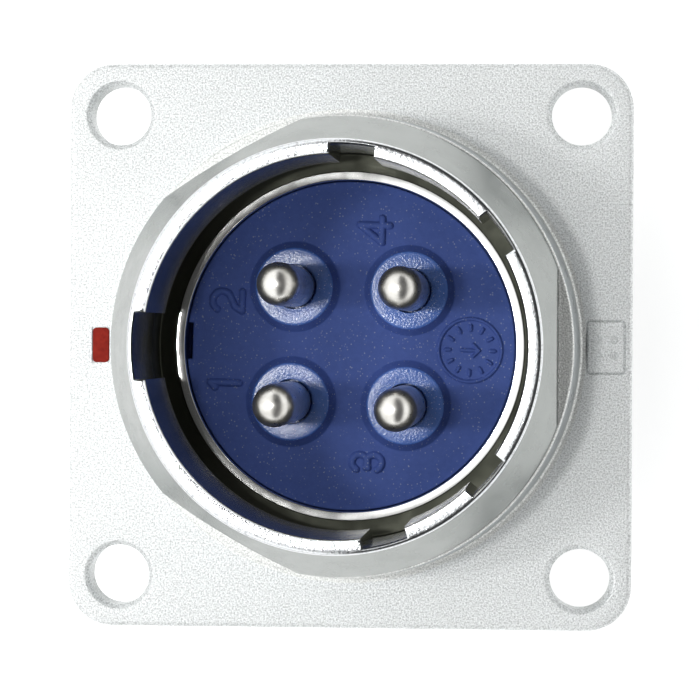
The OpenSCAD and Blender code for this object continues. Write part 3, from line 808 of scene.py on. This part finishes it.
def insert():
    s = Skin()
    towers = [(x, y) for x in (-TOWER_AT, TOWER_AT) for y in (-TOWER_AT, TOWER_AT)]
    loops = [insert_outline(INSERT_EDGE[0][0])] + [circle(TOWER_R, 128, *tower) for tower in towers]
    s.patch(loops, BLUE, points=relief_points(towers), height=lambda p: INSERT_Z + stroke_height(p))
    edge = [at_z(insert_outline(inset), INSERT_Z - depth) for inset, depth in INSERT_EDGE]
    s.loft([at_z(insert_outline(0), SEAT_Z)] + edge[::-1], BLUE)
    top_z, hole_z = INSERT_Z + TOWER_H, INSERT_Z - TOWER_HOLE_DEPTH
    tower_profile = corner_profile([
        (TOWER_R, INSERT_Z, 0), (TOWER_FOOT_R, INSERT_Z, 0.14), (TOWER_TOP_R, top_z, 0.16),
        (TOWER_HOLE_R, top_z, 0.03), (TOWER_HOLE_R, hole_z, 0), (NECK_R, hole_z, 0),
    ], 6)
    # The tops and upper slopes take the glossier blue with its painted highlight.
    strips = [GLOSSY_BLUE_PAINTED_HIGHLIGHT if (p[0] + q[0]) / 2 < TOWER_GLOSS_AND_HIGHLIGHT_R else BLUE
              for p, q in zip(tower_profile, tower_profile[1:])]
    for tower in towers:
        s.loft(revolve(tower_profile, 128, *tower), strips)
    back_r = REAR_BORE_R - FINE
    back = [(back_r, SEAT_Z), (back_r, INSERT_BACK_Z), (NEAR_AXIS, INSERT_BACK_Z)]
    s.loft([at_z(insert_outline(0), SEAT_Z)] + [at_z(round_outline(r), z) for r, z in back], BLUE)
    ob = s.build("front_insulator_skin", 50)
    ob.data.transform(Matrix.Rotation(INSERT_TURN, 4, "Z"))
    return ob


# ---------------------------------------------------------------- contacts
def contact(number):
    x, y, tip = PINS[number - 1]
    nose_z = tip - PIN_R
    nose = [(PIN_R * math.sin(t), nose_z + PIN_R * math.cos(t)) for t in np.radians(np.linspace(0.5, 90, 22))]
    wall = [(PIN_R, z) for z in np.linspace(nose_z, NECK_Z, 12)[1:]]
    cup_z = CUP_LIP_Z + CUP_DEPTH
    rest = corner_profile([
        (PIN_R, NECK_Z, 0), (NECK_R, NECK_Z, FINE), (NECK_R, SHOULDER_TOP_Z, 0),
        (SHOULDER_R, SHOULDER_TOP_Z, 0), (SHOULDER_R, INSERT_BACK_Z, FINE), (TAIL_R, INSERT_BACK_Z, FINE),
        (TAIL_R, CLIP_TOP_Z, FINE), (CLIP_R, CLIP_TOP_Z, 0),
        (CLIP_R, CLIP_LOW_Z, 0), (TAIL_R, CLIP_LOW_Z, FINE),
        (TAIL_R, CUP_LIP_Z, 0.1), (CUP_R, CUP_LIP_Z, 0.08), (CUP_R, cup_z, 0.1), (NEAR_AXIS, cup_z, 0),
    ], 4)
    s = Skin()
    s.loft(revolve((nose + wall + rest[1:])[::-1], 96, x, y), SILVER)
    return s.build(f"contact_skin_{number}")


# ---------------------------------------------------------------- pieces on the frame
made = {
    "front_barrel": (front_barrel(), "plated_shell"),
    "rear_barrel": (rear_barrel(), "plated_shell"),
    "flange": (flange(), "plated_shell"),
    "front_insulator": (insert(), "blue_insulator"),
    "index_mark": (index_mark(), "red_enamel"),
    **{f"contact_pin_{number}": (contact(number), "silver_contact") for number in range(1, 5)},
}
for cad, (piece, slot) in made.items():
    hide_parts(cad)
    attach(piece, "root")

carried_over = {
    "insulator_gasket": BLACK_RUBBER,
    "shell_seal": BLACK_RUBBER,
    "rear_insulator": BLUE,
    "thrust_washer": STEEL,
    "retaining_ring": STEEL,
    **{f"contact_clip_{number}": STEEL for number in range(1, 5)},
}
for cad, finish in carried_over.items():
    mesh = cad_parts[cad].data
    mesh.materials.clear()
    mesh.materials.append(finish)
    mesh.polygons.foreach_set("material_index", [0] * len(mesh.polygons))


# ---------------------------------------------------------------- floor, light and camera
def floor(half_m=1.5):
    """Pale floor at the rear end. Seen directly or in metal it glows a little too, and so reads as white."""
    z = END_Z * MM
    corners = [(-half_m, -half_m, z), (half_m, -half_m, z), (half_m, half_m, z), (-half_m, half_m, z)]
    mesh = bpy.data.meshes.new("floor")
    mesh.from_pydata(corners, [], [(0, 1, 2, 3)])
    ob = bpy.data.objects.new("floor", mesh)
    bpy.context.scene.collection.objects.link(ob)
    m, nt, bsdf, _ = material("pale_floor")
    bsdf.inputs["Base Color"].default_value = (0.86, 0.86, 0.86, 1)
    bsdf.inputs["Roughness"].default_value = 0.9
    path = node(nt, "ShaderNodeLightPath")
    seen = path.outputs["Is Camera Ray"]
    for ray in ("Is Glossy Ray", "Is Transmission Ray"):
        seen = maths(nt, "MAXIMUM", seen, path.outputs[ray])
    nt.links.new(spread(nt, seen, 0, 1, to_high=0.55), bsdf.inputs["Emission Strength"])
    bsdf.inputs["Emission Color"].default_value = (1, 1, 1, 1)
    mesh.materials.append(m)
    return ob


def lamp(name, place, size, radiance):
    """A small soft lamp that faces the part. Place and size in mm, radiance in W/(sr m2)."""
    light = bpy.data.lights.new(name, "AREA")
    light.shape = "DISK"
    light.size = size * MM
    light.energy = radiance * math.pi * math.pi * (light.size / 2) ** 2
    ob = bpy.data.objects.new(name, light)
    ob.location = Vector(place) * MM
    ob.rotation_euler = ob.location.to_track_quat("Z", "Y").to_euler()
    bpy.context.scene.collection.objects.link(ob)


def studio():
    """A pale tent that darkens towards the horizon, with a dark gap overhead and to the right."""
    world = bpy.data.worlds.new("studio")
    bpy.context.scene.world = world
    world.use_nodes = True
    nt = world.node_tree
    sky = nt.nodes["Background"]
    way = node(nt, "ShaderNodeSeparateXYZ", {0: node(nt, "ShaderNodeTexCoord").outputs["Generated"]})
    up = maths(nt, "MAXIMUM", way.outputs[2], 0.02)
    lean_x = maths(nt, "DIVIDE", way.outputs[0], up)
    lean_y = maths(nt, "ABSOLUTE", maths(nt, "DIVIDE", way.outputs[1], up))
    from_left = spread(nt, lean_x, *TENT_GAP_LEFT)
    to_right = spread(nt, lean_x, *TENT_GAP_RIGHT, to_low=1.0, to_high=0.0)
    to_far = spread(nt, lean_y, *TENT_GAP_FAR, to_low=1.0, to_high=0.0)
    gap = maths(nt, "MULTIPLY", maths(nt, "MULTIPLY", from_left, to_right), to_far)
    wall = spread(nt, way.outputs[2], 0.05, 0.2, to_low=TENT_LOW, to_high=TENT_HIGH)
    strength = maths(nt, "MULTIPLY", wall, spread(nt, gap, 0, 1, to_low=1.0, to_high=TENT_GAP_LIGHT))
    nt.links.new(strength, sky.inputs["Strength"])
    sky.inputs["Color"].default_value = (0.99, 1.0, 1.0, 1)


def camera(eye, aim, roll, lens, shift_x):
    """A camera at eye that looks at aim, both in mm, with world Y up and a small roll in radians."""
    data = bpy.data.cameras.new("camera")
    data.sensor_width = 36
    data.lens = lens
    data.shift_x = shift_x
    data.clip_start = 0.005
    data.clip_end = 10
    ob = bpy.data.objects.new("camera", data)
    bpy.context.scene.collection.objects.link(ob)
    eye, aim = Vector(eye) * MM, Vector(aim) * MM
    back = (eye - aim).normalized()
    level = Vector((0, 1, 0)).cross(back).normalized()
    upright = back.cross(level)
    right = level * math.cos(roll) + upright * math.sin(roll)
    up = upright * math.cos(roll) - level * math.sin(roll)
    ob.matrix_world = Matrix.Translation(eye) @ Matrix((right, up, back)).transposed().to_4x4()
    bpy.context.scene.camera = ob


floor()
lamp("key_lamp", (-25, 0, 150), size=11, radiance=116)
lamp("side_lamp", (-110, 0, 168), size=24, radiance=44)
studio()
camera(eye=(13.0314, 0.767, FACE_Z + 165.7642), aim=(2.1665, -0.2187, FACE_Z), roll=0.0051, lens=142.176,
       shift_x=-0.05)
bpy.context.scene.view_settings.view_transform = "Standard"
